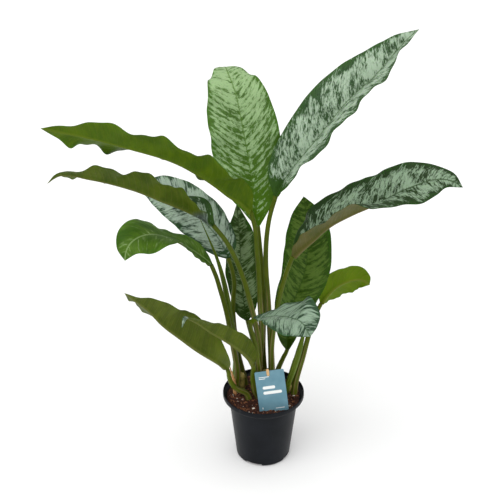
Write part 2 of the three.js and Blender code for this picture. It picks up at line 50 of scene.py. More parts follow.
BLADE_ROWS = 110
RIB_STEPS = 4  # columns from the middle of the midrib to its side
HALF_STEPS = 13  # and from there to the margin
RIB_WIDTH = 2.1 * MM
BLADE_THICKNESS = 0.8 * MM
CAMBER = 0.05  # the height of each half's hump, as a share of its width
QUILT_DEPTH = 0.28 * MM
VEIN_SPACING = 9 * MM
VEIN_LEAN = 0.5  # how steeply a side vein leaves the midrib
VEIN_BEND = 9.0  # and how much it bends on towards the tip, per metre

STEM_RING = 8  # points in each CAD ring of a stalk, cane, rolled leaf or dry sheath
STEM_ROWS = 70
STALK_SIDES = 24
STALK_TOWARDS = (0.3, -1, 0.2)  # the way that a stalk's channel faces
STEM_FRONT = (0, -1, 0)
RIDGE_TURN = 0.62  # from the middle of a stalk's channel to each of its ridges, in radians
CANE_SIDES = 32

SHEATH_ROWS, SHEATH_COLUMNS = 30, 9
SHEATH_THICKNESS = 0.35 * MM
SHEATH_WIDTH_SHARE = 1.5  # of the CAD strip's width
SHEATH_LEAN = np.array([3.5, -1.0, 5.0]) * MM  # how far its top stands from the CAD strip's

POT_WALL = 1.2 * MM
POT_FLOOR_RADIUS = 40.5 * MM
POT_SHOULDER_RADIUS = 50.4 * MM
POT_CORNER = 4 * MM
POT_LIP = 0.8 * MM
POT_FLARE_HEIGHT = 10.5 * MM
POT_RIM_HEIGHT = 6.5 * MM
POT_SEGMENTS = 160
DRAINS = 4
DRAIN_SIZE = (15 * MM, 26 * MM, 9 * MM)
DRAIN_RADIUS = 41.0 * MM
FIRST_DRAIN_DEGREES = -112

SOIL_DROP = 8.5 * MM  # the soil's level under the pot's rim
SOIL_RINGS, SOIL_SIDES = 44, 150
CHIPS = 1500
CHIP_SEED = 11
WHITE_GRAIN = 0.965  # chips drawn above this share are small white grains

CARD_EDGE = (55 * MM, 60.5 * MM)  # the card's long straight edges are between these lengths
CARD_BARS = [  # left, low, width and height in millimetres from the card's lower left corner
    (5.0, 54.5, 15.0, 0.9),
    (5.0, 52.0, 9.5, 0.9),
    (9.0, 36.0, 18.0, 4.6),
    (9.0, 28.0, 27.0, 4.6),
    (4.8, 4.5, 1.2, 5.0),
    (24.0, 4.5, 13.0, 0.9),
]

FLOOR_HALF = 6.0
SKY_LIGHT = 0.7  # how brightly the white surroundings light the plant
SKY_SEEN = 1.05  # and how bright they look themselves


# ---------------------------------------------------------------- the CAD rings


def merged_mesh(node):
    """The points and triangles of a CAD node, with the points that share a place merged."""
    mesh = bmesh.new()
    mesh.from_mesh(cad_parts[node].data)
    bmesh.ops.remove_doubles(mesh, verts=mesh.verts, dist=MERGE)
    bmesh.ops.triangulate(mesh, faces=mesh.faces)
    mesh.verts.index_update()
    points = np.array([v.co for v in mesh.verts])
    triangles = [[v.index for v in f.verts] for f in mesh.faces]
    mesh.free()
    return points, triangles


def skin_rings(node, ring_size):
    """The rings of points of a CAD skin, in order from its start, and its last point.

    The last point has a fan of triangles round it, and the walk goes from there back to the start.
    A blade's rings begin at its left margin, where only one point lies below each point.
    """
    points, triangles = merged_mesh(node)
    opposite = {}
    uses = np.zeros(len(points), int)
    for a, b, c in triangles:
        opposite[a, b], opposite[b, c], opposite[c, a] = c, a, b
        uses[[a, b, c]] += 1
    ends = np.flatnonzero(uses == ring_size)
    last = int(max(ends, key=lambda i: end_rank(i, points, opposite, node)))
    ring = [next(b for a, b in opposite if a == last)]
    while len(ring) < ring_size:
        ring.append(opposite[last, ring[-1]])
    sizes = [len(fan) for fan in fans_below(ring, opposite)]
    left = sizes.index(1) if 1 in sizes else 0
    ring = ring[left:] + ring[:left]
    rings = []
    while ring:
        rings.append(points[ring])
        ring = ring_below(ring, opposite)
    return np.array(rings[::-1]), points[last]


def ring_below(ring, opposite):
    """The ring next to this one towards the skin's start, or None where the skin ends.

    A stem's quads are all cut on one diagonal, and a blade's underside is cut on the other.
    """
    half = len(ring) // 2
    fans = fans_below(ring, opposite)
    sizes = [len(fan) for fan in fans]
    if sizes.count(2) == len(ring):
        return [fan[0] for fan in fans]
    if sizes[0] != 1 or sizes[half] != 3:
        return None
    below = [fan[0] for fan in fans[:half]] + [fans[half][1]] + [fan[-1] for fan in fans[half + 1:]]
    return below if len(set(below)) == len(ring) else None


def fans_below(ring, opposite):
    """For each point of a ring, the points below it, in order away from the next point of the ring."""
    fans = []
    for k, point in enumerate(ring):
        fan = []
        other = opposite.get((ring[(k + 1) % len(ring)], point))
        while other is not None and other != ring[k - 1] and len(fan) < 4:
            fan.append(other)
            other = opposite.get((other, point))
        fans.append(fan)
    return fans


def end_rank(index, points, opposite, node):
    """A blade ends at the fan whose ring is far from it, and a stem at its upper end."""
    if not node.startswith("leaf_"):
        return points[index][2]
    return np.mean([np.linalg.norm(points[b] - points[index]) for a, b in opposite if a == index])


def spline(values, steps):
    """Evenly spaced samples of a smooth curve through rows of values."""
    values = np.asarray(values, float)
    count = len(values)
    padded = np.vstack([2 * values[0] - values[1], values, 2 * values[-1] - values[-2]])
    place = np.linspace(0, count - 1, steps)
    low = np.minimum(place.astype(int), count - 2)
    u = (place - low)[:, None]
    p0, p1, p2, p3 = (padded[low + k] for k in range(4))
    return 0.5 * (
        2 * p1
        + (p2 - p0) * u
        + (2 * p0 - 5 * p1 + 4 * p2 - p3) * u**2
        + (3 * p1 - p0 - 3 * p2 + p3) * u**3
    )


def unit(vectors):
    return vectors / np.maximum(np.linalg.norm(vectors, axis=-1, keepdims=True), 1e-12)


def smoothstep(x, low, high):
    share = np.clip((x - low) / (high - low), 0, 1)
    return share * share * (3 - 2 * share)


# ---------------------------------------------------------------- making objects


def new_piece(name, vertices, faces, materials, replaces):
    mesh = bpy.data.meshes.new(name)
    mesh.from_pydata([tuple(v) for v in vertices], [], [tuple(f) for f in faces])
    mesh.validate()
    piece = bpy.data.objects.new(name, mesh)
    bpy.context.scene.collection.objects.link(piece)
    for material in materials:
        mesh.materials.append(material)
    mesh.polygons.foreach_set("use_smooth", [True] * len(mesh.polygons))
    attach(piece, BODY)
    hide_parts(*replaces)
    return piece


def add_vectors(piece, name, values):
    attribute = piece.data.attributes.new(name, "FLOAT_VECTOR", "POINT")
    attribute.data.foreach_set("vector", np.asarray(values, np.float32).reshape(-1))


def grid_faces(rows, columns, closed):
    """Quads over a grid of points, and round its back if it is closed."""
    faces = []
    for i in range(rows - 1):
        for k in range(columns if closed else columns - 1):
            after = (k + 1) % columns
            low, high = i * columns, (i + 1) * columns
            faces.append((low + k, low + after, high + after, high + k))
    return faces


# ---------------------------------------------------------------- nodes


class Nodes:
    """A material's node tree, with one short method for each kind of node."""

    def __init__(self, name):
        self.material = bpy.data.materials.new(name)
        self.material.use_nodes = True
        self.tree = self.material.node_tree
        self.shader = self.tree.nodes["Principled BSDF"]

    def put(self, socket, value):
        if isinstance(value, bpy.types.NodeSocket):
            self.tree.links.new(value, socket)
        else:
            socket.default_value = value

    def set(self, name, value):
        self.put(self.shader.inputs[name], value)

    def math(self, operation, a, b=0.0):
        node = self.tree.nodes.new("ShaderNodeMath")
        node.operation = operation
        for socket, value in zip(node.inputs, (a, b)):
            self.put(socket, value)
        return node.outputs[0]

    def attribute(self, name):
        node = self.tree.nodes.new("ShaderNodeAttribute")
        node.attribute_name = name
        split = self.tree.nodes.new("ShaderNodeSeparateXYZ")
        self.put(split.inputs[0], node.outputs["Vector"])
        return split.outputs

    def join(self, x, y, z=0.0):
        node = self.tree.nodes.new("ShaderNodeCombineXYZ")
        for socket, value in zip(node.inputs, (x, y, z)):
            self.put(socket, value)
        return node.outputs[0]

    def place(self):
        return self.tree.nodes.new("ShaderNodeTexCoord").outputs["Object"]

    def split(self, vector):
        node = self.tree.nodes.new("ShaderNodeSeparateXYZ")
        self.put(node.inputs[0], vector)
        return node.outputs

    def times(self, a, b):
        return self.math("MULTIPLY", a, b)

    def plus(self, a, b):
        return self.math("ADD", a, b)

    def minus(self, a, b):
        return self.math("SUBTRACT", a, b)

    def mapping(self, vector, scale, rotation=(0, 0, 0)):
        node = self.tree.nodes.new("ShaderNodeMapping")
        self.put(node.inputs["Vector"], vector)
        node.inputs["Scale"].default_value = scale
        node.inputs["Rotation"].default_value = rotation
        return node.outputs[0]

    def noise(self, vector, scale, detail=3.0, roughness=0.55, distortion=0.0):
        node = self.tree.nodes.new("ShaderNodeTexNoise")
        self.put(node.inputs["Vector"], vector)
        node.inputs["Scale"].default_value = scale
        node.inputs["Detail"].default_value = detail
        node.inputs["Roughness"].default_value = roughness
        node.inputs["Distortion"].default_value = distortion
        return node.outputs["Fac"]

    def span(self, value, low, high, to_low=0.0, to_high=1.0):
        node = self.tree.nodes.new("ShaderNodeMapRange")
        node.interpolation_type = "SMOOTHSTEP"
        self.put(node.inputs["Value"], value)
        names = ("From Min", "From Max", "To Min", "To Max")
        for name, number in zip(names, (low, high, to_low, to_high)):
            self.put(node.inputs[name], number)
        return node.outputs["Result"]

    def tone(self, noise, to_low=0.0, to_high=1.0):
        """The middle range of a noise, spread from one value to another."""
        return self.span(noise, 0.3, 0.7, to_low, to_high)

    def mix(self, share, a, b):
        node = self.tree.nodes.new("ShaderNodeMix")
        node.data_type = "RGBA"
        self.put(node.inputs["Factor"], share)
        self.put(node.inputs["A"], a if isinstance(a, bpy.types.NodeSocket) else (*a, 1))
        self.put(node.inputs["B"], b if isinstance(b, bpy.types.NodeSocket) else (*b, 1))
        return node.outputs["Result"]

    def bump(self, height, distance, strength=1.0, normal=None):
        node = self.tree.nodes.new("ShaderNodeBump")
        self.put(node.inputs["Height"], height)
        node.inputs["Distance"].default_value = distance
        node.inputs["Strength"].default_value = strength
        if normal:
            self.put(node.inputs["Normal"], normal)
        return node.outputs[0]


def srgb(red, green, blue):
    """A colour given in 0 to 255 as the renderer's linear one."""

    def linear(value):
        share = value / 255
        return share / 12.92 if share <= 0.04045 else ((share + 0.055) / 1.055) ** 2.4

    return (linear(red), linear(green), linear(blue))


def dim(colour, share):
    return tuple(share * c for c in colour)


# ---------------------------------------------------------------- leaf materials


def blade_coordinates(n):
    """A blade's own coordinates.

    They are the places along and out from the midrib and along the side veins, in metres, the
    shares of the half width and of the length, and a number that differs between leaves.
    """
    along, across, _ = n.attribute("blade")
    edge, length, seed = n.attribute("share")
    out = n.math("ABSOLUTE", across)
    bend = n.times(n.times(out, out), VEIN_BEND)
    vein = n.minus(n.minus(along, n.times(out, VEIN_LEAN)), bend)
    return along, out, edge, length, seed, vein


def leaf_upper(
    name, silver, green, base, cover=0.5, streak=0.8, banded=0.0, foot_end=0.17, rim=0.5
):
    """The upper side: silver clouds and flecks drawn out along the side veins, on green.

    cover is how much is silver, streak how short its marks are, banded how far it follows the
    veins, foot_end the share of the length where the green foot ends, and rim the share of the
    width where the margin begins.
    """
    n = Nodes(name)
    along, out, edge, length, seed, vein = blade_coordinates(n)
    clouds = n.noise(n.join(vein, n.times(out, streak), seed), 90.0, 4.0, 0.6)
    flecks = n.noise(n.join(vein, n.times(out, 0.7 * streak), seed), 360.0, 4.0, 0.65, 0.3)
    specks = n.noise(n.join(vein, n.times(out, 0.5), seed), 700.0, 2.0, 0.6)
    broad = n.noise(n.join(along, out, seed), 26.0, 2.0)
    bands = n.math("COSINE", n.times(vein, 2 * math.pi / VEIN_SPACING))
    body = n.plus(n.times(n.plus(clouds, flecks), 0.55), n.times(bands, banded))
    uneven = n.times(n.minus(n.noise(n.join(along, seed), 60.0, 3.0), 0.5), 0.7)
    margin = n.plus(edge, uneven)
    border = n.span(margin, rim, 1.1)
    foot = n.span(length, foot_end, 0.02)
    level = 0.52 + 0.24 * (0.5 - cover)
    low = n.plus(level, n.plus(n.times(border, 0.15), n.times(foot, 0.13)))
    low = n.plus(low, n.times(n.minus(broad, 0.5), 0.22))
    amount = n.minus(body, low)
    middle = tuple(0.5 * a + 0.5 * b for a, b in zip(green, silver))
    ground = n.mix(n.times(n.span(specks, 0.45, 0.62), 0.7), green, dim(green, 0.45))
    ground = n.mix(n.times(n.span(margin, 0.75, 1.1), 0.6), ground, base)
    ground = n.mix(foot, ground, base)
    colour = n.mix(n.span(amount, -0.035, -0.005), ground, middle)
    colour = n.mix(n.span(amount, 0.0, 0.075), colour, silver)
    colour = n.mix(n.times(n.span(specks, 0.6, 0.66), 0.5), colour, dim(green, 0.6))
    colour = n.mix(n.times(n.span(out, 1.4 * MM, 0.5 * MM), 0.6), colour, base)
    groove = vein_grooves(n, vein, out)
    n.set("Base Color", n.mix(n.times(groove, 0.12), colour, dim(green, 0.6)))
    leaf_surface(n, groove, flecks, 0.42, 0.52)
    return n.material


def leaf_plain(name, green, pale, dark, streaks):
    """The upper side of a green leaf: paler streaks along the side veins and a soft cloud. On the left
    arching leaf the pale streaks and paler midrib are partly a paler tint and partly a painted sheen.
    """
    n = Nodes(name)
    _, out, edge, _, seed, vein = blade_coordinates(n)
    clouds = n.noise(n.join(vein, out, seed), 38.0, 3.0, 0.55)
    lines = n.noise(n.join(vein, n.times(out, 0.22), seed), 300.0, 3.0, 0.6)
    streak_share = n.times(n.span(lines, 0.52, 0.68), n.span(clouds, 0.38, 0.62))
    streak_share = n.times(streak_share, n.span(edge, 0.95, 0.6))
    # Pale streaks: a paler tint, and on the left arching leaf partly a painted sheen as well.
    colour = n.mix(n.times(streak_share, streaks), n.mix(n.tone(clouds), dark, green), pale)
    groove = vein_grooves(n, vein, out)
    colour = n.mix(n.times(groove, 0.3), colour, dim(dark, 0.6))
    n.set("Base Color", n.mix(n.times(n.span(out, 1.5 * MM, 0.5 * MM), 0.55), colour, pale))
    leaf_surface(n, groove, lines, 0.38, 0.5)
    return n.material


def leaf_under(name, olive, dark, rib_colour, silver=None):
    """The underside: olive, with fine veins and a raised midrib, and silver on its foot if given."""
    n = Nodes(name)
    _, out, _, length, seed, vein = blade_coordinates(n)
    clouds = n.noise(n.join(vein, n.times(out, 0.5), seed), 45.0, 4.0, 0.6)
    fine = n.noise(n.join(vein, n.times(out, 0.12), seed), 420.0, 3.0, 0.6)
    groove = vein_grooves(n, vein, out)
    colour = n.mix(n.span(clouds, 0.32, 0.7), dark, olive)
    colour = n.mix(n.times(n.span(fine, 0.5, 0.75), 0.22), colour, rib_colour)
    colour = n.mix(n.times(groove, 0.28), colour, rib_colour)
    colour = n.mix(n.times(n.span(out, 2.6 * MM, 1.4 * MM), 0.55), colour, rib_colour)
    if silver:
        drawn = n.join(vein, n.times(out, 0.35), seed)
        patches = n.span(n.noise(drawn, 110.0, 4.0, 0.6), 0.48, 0.6)
        foot = n.mix(patches, dim(silver, 0.35), silver)
        colour = n.mix(n.span(length, 0.17, 0.11), colour, foot)
    n.set("Base Color", colour)
    leaf_surface(n, n.times(groove, -1.0), fine, 0.48, 0.62)
    return n.material


def vein_grooves(n, vein, out):
    """1 along each side vein, which leaves the midrib and bends towards the tip."""
    turns = n.math("FRACT", n.math("DIVIDE", vein, VEIN_SPACING))
    gap = n.math("ABSOLUTE", n.minus(turns, 0.5))
    return n.times(n.span(gap, 0.41, 0.5), n.span(out, 0.0, 4 * MM))


def leaf_surface(n, groove, grain, smooth, rough):
    """The leathery surface that both sides share."""
    n.set("Roughness", n.tone(grain, smooth, rough))
    n.set("IOR", 1.42)
    n.set("Specular IOR Level", 0.14)
    n.set("Subsurface Weight", 0.08)
    n.set("Subsurface Radius", (0.4, 1.0, 0.2))
    n.set("Subsurface Scale", 1.2 * MM)
    veins = n.bump(groove, -0.25 * MM, 0.8)
    cells = n.noise(n.place(), 1500.0, 2.0, 0.6)
    n.set("Normal", n.bump(cells, 0.06 * MM, 0.5, veins))


# ---------------------------------------------------------------- blades


class Leaf:
    """How one blade looks beyond its CAD shape: its materials and the waves of its two margins."""

    def __init__(self, name, upper, under, waves, left, right, phase):
        self.name = name
        self.upper = upper
        self.under = under
        self.waves = waves
        self.heights = {-1: left * MM, 1: right * MM}
        self.phase = phase


def blade_frame(node):
    """Smooth rows of a blade's midrib, margins and keel, from its CAD rings."""
    rings, tip = skin_rings(node, BLADE_RING)
    lines = []
    for k in (0, TOP_CENTRE, RIGHT_MARGIN, KEEL):
        lines.append(spline(np.vstack([rings[:, k], tip]), BLADE_ROWS))
    return lines


def edge_wave(leaf, s, way):
    """How far a margin rises and falls along the blade, as a share of the leaf's wave height."""
    turn = 2 * math.pi * leaf.waves * s + leaf.phase + (1.1 if way > 0 else 0.0)
    uneven = 0.35 * np.sin(2.3 * turn + 1.7 * leaf.phase)
    return (np.sin(turn) + uneven) * smoothstep(s, 0.0, 0.18) * smoothstep(1 - s, 0.0, 0.15)


def blade_columns(half_width):
    """Places across half of a blade: close together on the midrib, then out to the margin."""
    rib = np.minimum(RIB_WIDTH, 0.3 * half_width)
    on_rib = [rib * k / RIB_STEPS for k in range(RIB_STEPS)]
    outside = [rib + (half_width - rib) * k / HALF_STEPS for k in range(HALF_STEPS + 1)]
    return np.array(on_rib + outside).T, rib


def half_frame(middle, margin, way):
    """Half a blade's width, its way out to the margin and its way up, row by row."""
    half_width = np.maximum(np.linalg.norm(margin - middle, axis=1), 0.01 * MM)
    outwards = unit(margin - middle)
    ahead = unit(np.gradient(middle, axis=0))
    return half_width, outwards, unit(np.cross(outwards, ahead) * way)


def surface_rise(leaf, way, length, x, t):
    """How far the upper side stands above a flat half: its hump, wavy edge and quilting."""
    s = np.linspace(0, 1, BLADE_ROWS)
    half_width = x[:, -1:]
    hump = CAMBER * half_width * 4 * t * (1 - t) * smoothstep(x, 0, 6 * MM)
    wave = leaf.heights[way] * edge_wave(leaf, s, way)[:, None] * t**2.2
    vein = length[:, None] - VEIN_LEAN * x - VEIN_BEND * x**2
    gap = np.abs((vein / VEIN_SPACING) % 1 - 0.5)
    inside = smoothstep(t, 0.02, 0.2) * smoothstep(1 - t, 0.05, 0.3)
    return hump + wave - QUILT_DEPTH * smoothstep(gap, 0.25, 0.5) * inside


def half_blade(leaf, way, lines, spine_up, half):
    """Half a blade, from left to right: upper points, lower points and material coordinates."""
    middle, length, keel_drop = lines
    half_width, outwards, up = half
    x, rib = blade_columns(half_width)
    t = x / half_width[:, None]
    rise = surface_rise(leaf, way, length, x, t)
    blend = smoothstep(x, 0, 3.0 * MM)[:, :, None]
    normal = unit(spine_up[:, None] * (1 - blend) + up[:, None] * blend)
    upper = middle[:, None] + outwards[:, None] * x[:, :, None] + normal * rise[:, :, None]
    s = np.linspace(0, 1, BLADE_ROWS)[:, None]
    thin = BLADE_THICKNESS * (1 - 0.75 * t**3) * (1 - 0.5 * s)
    round_rib = np.sqrt(np.clip(1 - (x / (1.25 * rib[:, None])) ** 2, 0, 1))
    deep = np.maximum(thin, keel_drop[:, None] * round_rib)
    lower = upper - normal * deep[:, :, None]
    blade = np.stack([length[:, None] + 0 * x, way * x, np.full_like(x, leaf.phase)], axis=2)
    share = np.stack([t, s + 0 * x, np.full_like(x, way * 3.0 + leaf.phase)], axis=2)
    order = slice(None, None, -1) if way < 0 else slice(None)
    return [part[:, order] for part in (upper, lower, blade, share)]


def make_blade(leaf):
    node = "leaf_" + leaf.name
    left, middle, right, keel = blade_frame(node)
    steps = np.linalg.norm(np.diff(middle, axis=0), axis=1)
    length = np.concatenate([[0], np.cumsum(steps)])
    lines = middle, length, np.linalg.norm(keel - middle, axis=1)
    halves = {way: half_frame(middle, margin, way) for way, margin in ((-1, left), (1, right))}
    spine_up = unit(halves[-1][2] + halves[1][2])
    parts = [half_blade(leaf, way, lines, spine_up, halves[way]) for way in (-1, 1)]
    upper, lower, blade, share = (
        np.concatenate([a[:, :-1], b], axis=1) for a, b in zip(*parts)
    )
    rings = np.concatenate([upper, lower[:, ::-1]], axis=1)
    rows, columns = BLADE_ROWS - 1, rings.shape[1]  # one point closes the tip, in place of the last row
    points = np.vstack([rings[:rows].reshape(-1, 3), [middle[-1]], [rings[0].mean(axis=0)]])
    faces = closed_blade_faces(rows, columns)
    materials = [leaf.upper, leaf.under]
    piece = new_piece(leaf.name + "_blade", points, faces, materials, [node])
    tip = rows * columns
    for face in piece.data.polygons:
        below = all(v % columns >= columns // 2 - 1 or v >= tip for v in face.vertices)
        face.material_index = 1 if below and face.vertices[0] < tip else 0
    ends = [[length[-1], 0, leaf.phase], [0, 0, leaf.phase]], [[0, 1, 0], [0, 0, 0]]
    for name, values, end in zip(("blade", "share"), (blade, share), ends):
        both = np.concatenate([values, values[:, ::-1]], axis=1)[:rows].reshape(-1, 3)
        add_vectors(piece, name, np.vstack([both, end]))
    piece.data.update()


def closed_blade_faces(rows, columns):
    """The faces round a blade, to a point at its tip and to one in the middle of its foot."""
    tip, foot = rows * columns, rows * columns + 1
    last = (rows - 1) * columns
    faces = grid_faces(rows, columns, True)
    for k in range(columns):
        after = (k + 1) % columns
        faces.append((last + k, last + after, tip))
        faces.append((after, k, foot))
    return faces


# ---------------------------------------------------------------- stems


def stem_line(node):
    """A smooth centre line and radius along a CAD stem."""
    rings, _ = skin_rings(node, STEM_RING)
    centres = rings.mean(axis=1)
    radii = np.linalg.norm(rings - centres[:, None], axis=2).mean(axis=1)
    line = spline(centres, STEM_ROWS)
    return line, spline(radii[:, None], STEM_ROWS)[:, 0]


def stem_frames(line, towards):
    """At each point, a side that starts facing towards and doesn't twist, and the way beside it."""
    ahead = unit(np.gradient(line, axis=0))
    sides = []
    side = np.asarray(towards, float)
    for direction in ahead:
        side = side - direction * side.dot(direction)
        side = side / np.linalg.norm(side)
        sides.append(side)
    sides = np.array(sides)
    return sides, np.cross(ahead, sides)


def tube(line, radii_at, towards, sides=STALK_SIDES):
    """Points and faces of a closed tube, and each point's share along it and turn round it.

    radii_at gives the radius for arrays of the share and the turn.
    """
    side, beside = stem_frames(line, towards)
    count = len(line)
    s = np.linspace(0, 1, count)[:, None]
    turn = np.linspace(0, 2 * math.pi, sides, endpoint=False)[None]
    radius = radii_at(s, turn)
    ring = side[:, None] * np.cos(turn)[:, :, None] + beside[:, None] * np.sin(turn)[:, :, None]
    rings = line[:, None] + ring * radius[:, :, None]
    points = np.vstack([rings.reshape(-1, 3), [line[0]], [line[-1]]])
    faces = grid_faces(count, sides, True)
    first, last = len(points) - 2, len(points) - 1
    for k in range(sides):
        after = (k + 1) % sides
        faces.append((after, k, first))
        faces.append(((count - 1) * sides + k, (count - 1) * sides + after, last))
    shares = np.stack([np.repeat(s, sides, 1), np.repeat(turn, count, 0), np.zeros((count, sides))], 2)
    shares = np.vstack([shares.reshape(-1, 3), [[0, 0, 0]], [[1, 0, 0]]])
    return points, faces, shares


def new_stem(name, tube_parts, material, node):
    points, faces, shares = tube_parts
    piece = new_piece(name, points, faces, [material], [node])
    add_vectors(piece, "stem", shares)


def stalk_material(name, green, pale, edge_colour):
    """A leaf stalk: olive green, finely lined, paler at its foot, with dry edges to its sheath."""
    n = Nodes(name)
    share, turn, _ = n.attribute("stem")
    place = n.place()
    lines = n.noise(n.join(n.math("COSINE", turn), n.math("SINE", turn), n.times(share, 1.2)), 9.0, 4.0)
    clouds = n.noise(place, 28.0, 3.0, 0.6)
    colour = n.mix(n.span(lines, 0.35, 0.68), dim(green, 0.72), green)
    colour = n.mix(n.times(n.span(clouds, 0.35, 0.7), 0.35), colour, pale)
    foot = n.span(share, 0.3, 0.03)
    colour = n.mix(n.times(foot, 0.6), colour, pale)
    edge = n.span(n.math("COSINE", n.minus(turn, RIDGE_TURN)), 0.965, 0.995)
    other = n.span(n.math("COSINE", n.plus(turn, RIDGE_TURN)), 0.965, 0.995)
    sheath = n.times(n.math("MAXIMUM", edge, other), n.span(share, 0.62, 0.5))
    colour = n.mix(n.times(sheath, 0.85), colour, edge_colour)
    n.set("Base Color", colour)
    n.set("Roughness", n.tone(lines, 0.36, 0.52))
    n.set("Specular IOR Level", 0.14)
    n.set("Subsurface Weight", 0.08)
    n.set("Subsurface Scale", 1.5 * MM)
    n.set("Normal", n.bump(lines, 0.35 * MM, 0.6))
    return n.material


def make_stalk(leaf, material):
    node = "stalk_" + leaf
    line, radii = stem_line(node)

    def radius(s, turn):
        """A channel between two ridges, which are the sheath's edges lower down."""
        base = radii[:, None]
        sheath = smoothstep(0.62 - s, 0.0, 0.2)
        away = np.angle(np.exp(1j * turn))
        ridge = np.exp(-(((np.abs(away) - RIDGE_TURN) / 0.16) ** 2))
        channel = np.exp(-((away / 0.42) ** 2))
        lines = 0.012 * np.sin(9 * turn)
        return base * (1 + lines + 0.16 * sheath * ridge - (0.1 + 0.12 * sheath) * channel)

    new_stem(leaf + "_stalk", tube(line, radius, STALK_TOWARDS), material, node)


def make_spear(side, material):
    """A young leaf still rolled up: its free edge winds round it in a low step."""
    node = "spear_" + side
    line, radii = stem_line(node)

    def radius(s, turn):
        winding = ((turn - 9.0 * s) / (2 * math.pi)) % 1
        step = 0.16 * smoothstep(winding, 0.0, 0.06) * (1 - 0.8 * winding) * smoothstep(s, 0.25, 0.4)
        return radii[:, None] * (1 + step)

    parts = tube(line, radius, STEM_FRONT, CANE_SIDES)
    new_stem("rolled_leaf_" + side, parts, material, node)


def cane_material():
    n = Nodes("cane")
    place = n.place()
    grain = n.noise(n.mapping(place, (1, 1, 0.25)), 420.0, 4.0, 0.6)
    patches = n.noise(place, 90.0, 3.0, 0.6)
    colour = n.mix(n.span(patches, 0.35, 0.65), srgb(112, 104, 40), srgb(176, 158, 84))
    colour = n.mix(n.times(n.span(grain, 0.55, 0.75), 0.6), colour, srgb(94, 70, 36))
    n.set("Base Color", colour)
    n.set("Roughness", n.tone(grain, 0.5, 0.75))
    n.set("Normal", n.bump(grain, 0.5 * MM, 0.6))
    return n.material


def make_cane(side, material):
    """A cane ringed by the scars of old leaves."""
    node = "cane_" + side
    line, radii = stem_line(node)

    def radius(s, turn):
        scars = (s * 5.0 + 0.04 * np.sin(turn)) % 1
        ring = np.exp(-(((scars - 0.5) / 0.07) ** 2))
        top = 1 - 0.25 * smoothstep(s, 0.93, 1.0)
        return radii[:, None] * top * (1 + 0.08 * ring + 0.02 * np.sin(5 * turn + 8 * s))

    parts = tube(line, radius, STEM_FRONT, CANE_SIDES)
    new_stem("cane_" + side + "_bark", parts, material, node)


# ---------------------------------------------------------------- dry sheath


def dry_sheath_material():
    n = Nodes("dry_sheath")
    share = n.attribute("stem")[0]
    place = n.place()
    fibres = n.noise(n.mapping(place, (1, 1, 0.06)), 900.0, 4.0, 0.65)
    colour = n.mix(n.tone(fibres), srgb(176, 112, 58), srgb(230, 180, 124))
    colour = n.mix(n.times(n.span(share, 0.75, 1.0), 0.6), colour, srgb(236, 186, 128))
    n.set("Base Color", colour)
    n.set("Roughness", n.tone(fibres, 0.6, 0.85))
    n.set("Normal", n.bump(fibres, 0.3 * MM, 0.7))
    return n.material


def make_dry_sheath(material):
    """A papery strip curled round its own length, torn at the top."""
    node = "dry_sheath"
    rings, _ = skin_rings(node, STEM_RING)
    spokes = rings - rings.mean(axis=1)[:, None]
    centres = spline(rings.mean(axis=1), SHEATH_ROWS)
    widths = spline(np.linalg.norm(spokes, axis=2).max(axis=1)[:, None], SHEATH_ROWS)[:, 0]
    side, beside = stem_frames(centres, (0.3, -1, 0))
    turns = np.linspace(-1.15, 1.15, SHEATH_COLUMNS)
    outer, inner = [], []
    for i, centre in enumerate(centres):
        width = SHEATH_WIDTH_SHARE * widths[i]
        torn = 1 + 0.1 * math.sin(i * 1.9)
        centre = centre + SHEATH_LEAN * (i / SHEATH_ROWS) ** 1.5 - side[i] * 0.5 * width
        for turn in turns:
            away = side[i] * math.cos(turn) + beside[i] * math.sin(turn)
            outer.append(centre + away * width * torn)
            inner.append(centre + away * (width * torn - SHEATH_THICKNESS))
    faces = strip_faces(SHEATH_ROWS, SHEATH_COLUMNS)
    piece = new_piece("dry_sheath_strip", outer + inner, faces, [material], [node])
    shares = [[i / (SHEATH_ROWS - 1), turn, 0] for i in range(SHEATH_ROWS) for turn in turns]
    add_vectors(piece, "stem", shares + shares)


def strip_faces(rows, columns):
    """The faces of a thin strip: an outer grid, an inner one facing back, and the rim between them."""
    total = rows * columns
    faces = grid_faces(rows, columns, False)
    faces += [tuple(total + v for v in reversed(f)) for f in grid_faces(rows, columns, False)]
    rim = list(range(columns))
    rim += [i * columns + columns - 1 for i in range(1, rows)]
    rim += [(rows - 1) * columns + k for k in range(columns - 2, -1, -1)]
    rim += [i * columns for i in range(rows - 2, 0, -1)]
    return faces + [(b, a, total + a, total + b) for a, b in zip(rim, rim[1:] + rim[:1])]


# ---------------------------------------------------------------- pot


def pot_material():
    """Dull charcoal plastic: faint moulding lines, fine grain and dust near the rim."""
    n = Nodes("pot_plastic")
    place = n.place()
    _, _, z = n.split(place)
    clouds = n.noise(place, 26.0, 4.0, 0.6)
    grain = n.noise(place, 1300.0, 2.0, 0.6)
    rings = n.noise(n.join(0.0, 0.0, z), 420.0, 2.0)
    dust = n.noise(n.mapping(place, (1, 1, 0.35)), 120.0, 5.0, 0.7)
    colour = n.mix(n.tone(clouds), srgb(15, 18, 22), srgb(22, 25, 30))
    dusty = n.times(n.span(dust, 0.55, 0.75), n.span(z, 0.08, 0.108, 0.05, 0.22))
    colour = n.mix(dusty, colour, srgb(92, 92, 90))
    n.set("Base Color", colour)
    n.set("Roughness", n.plus(n.tone(grain, 0.36, 0.46), n.times(dusty, 0.3)))
    n.set("Specular IOR Level", 0.1)
    lines = n.bump(rings, 0.05 * MM, 0.5)
    n.set("Normal", n.bump(grain, 0.05 * MM, 0.5, lines))
    return n.material


def arc(centre, radius, start, end, steps):
    """Points of an arc in degrees, as radius from the axis and height."""
    points = []
    for k in range(steps + 1):
        turn = math.radians(start + (end - start) * k / steps)
        points.append((centre[0] + radius * math.cos(turn), centre[1] + radius * math.sin(turn)))
    return points


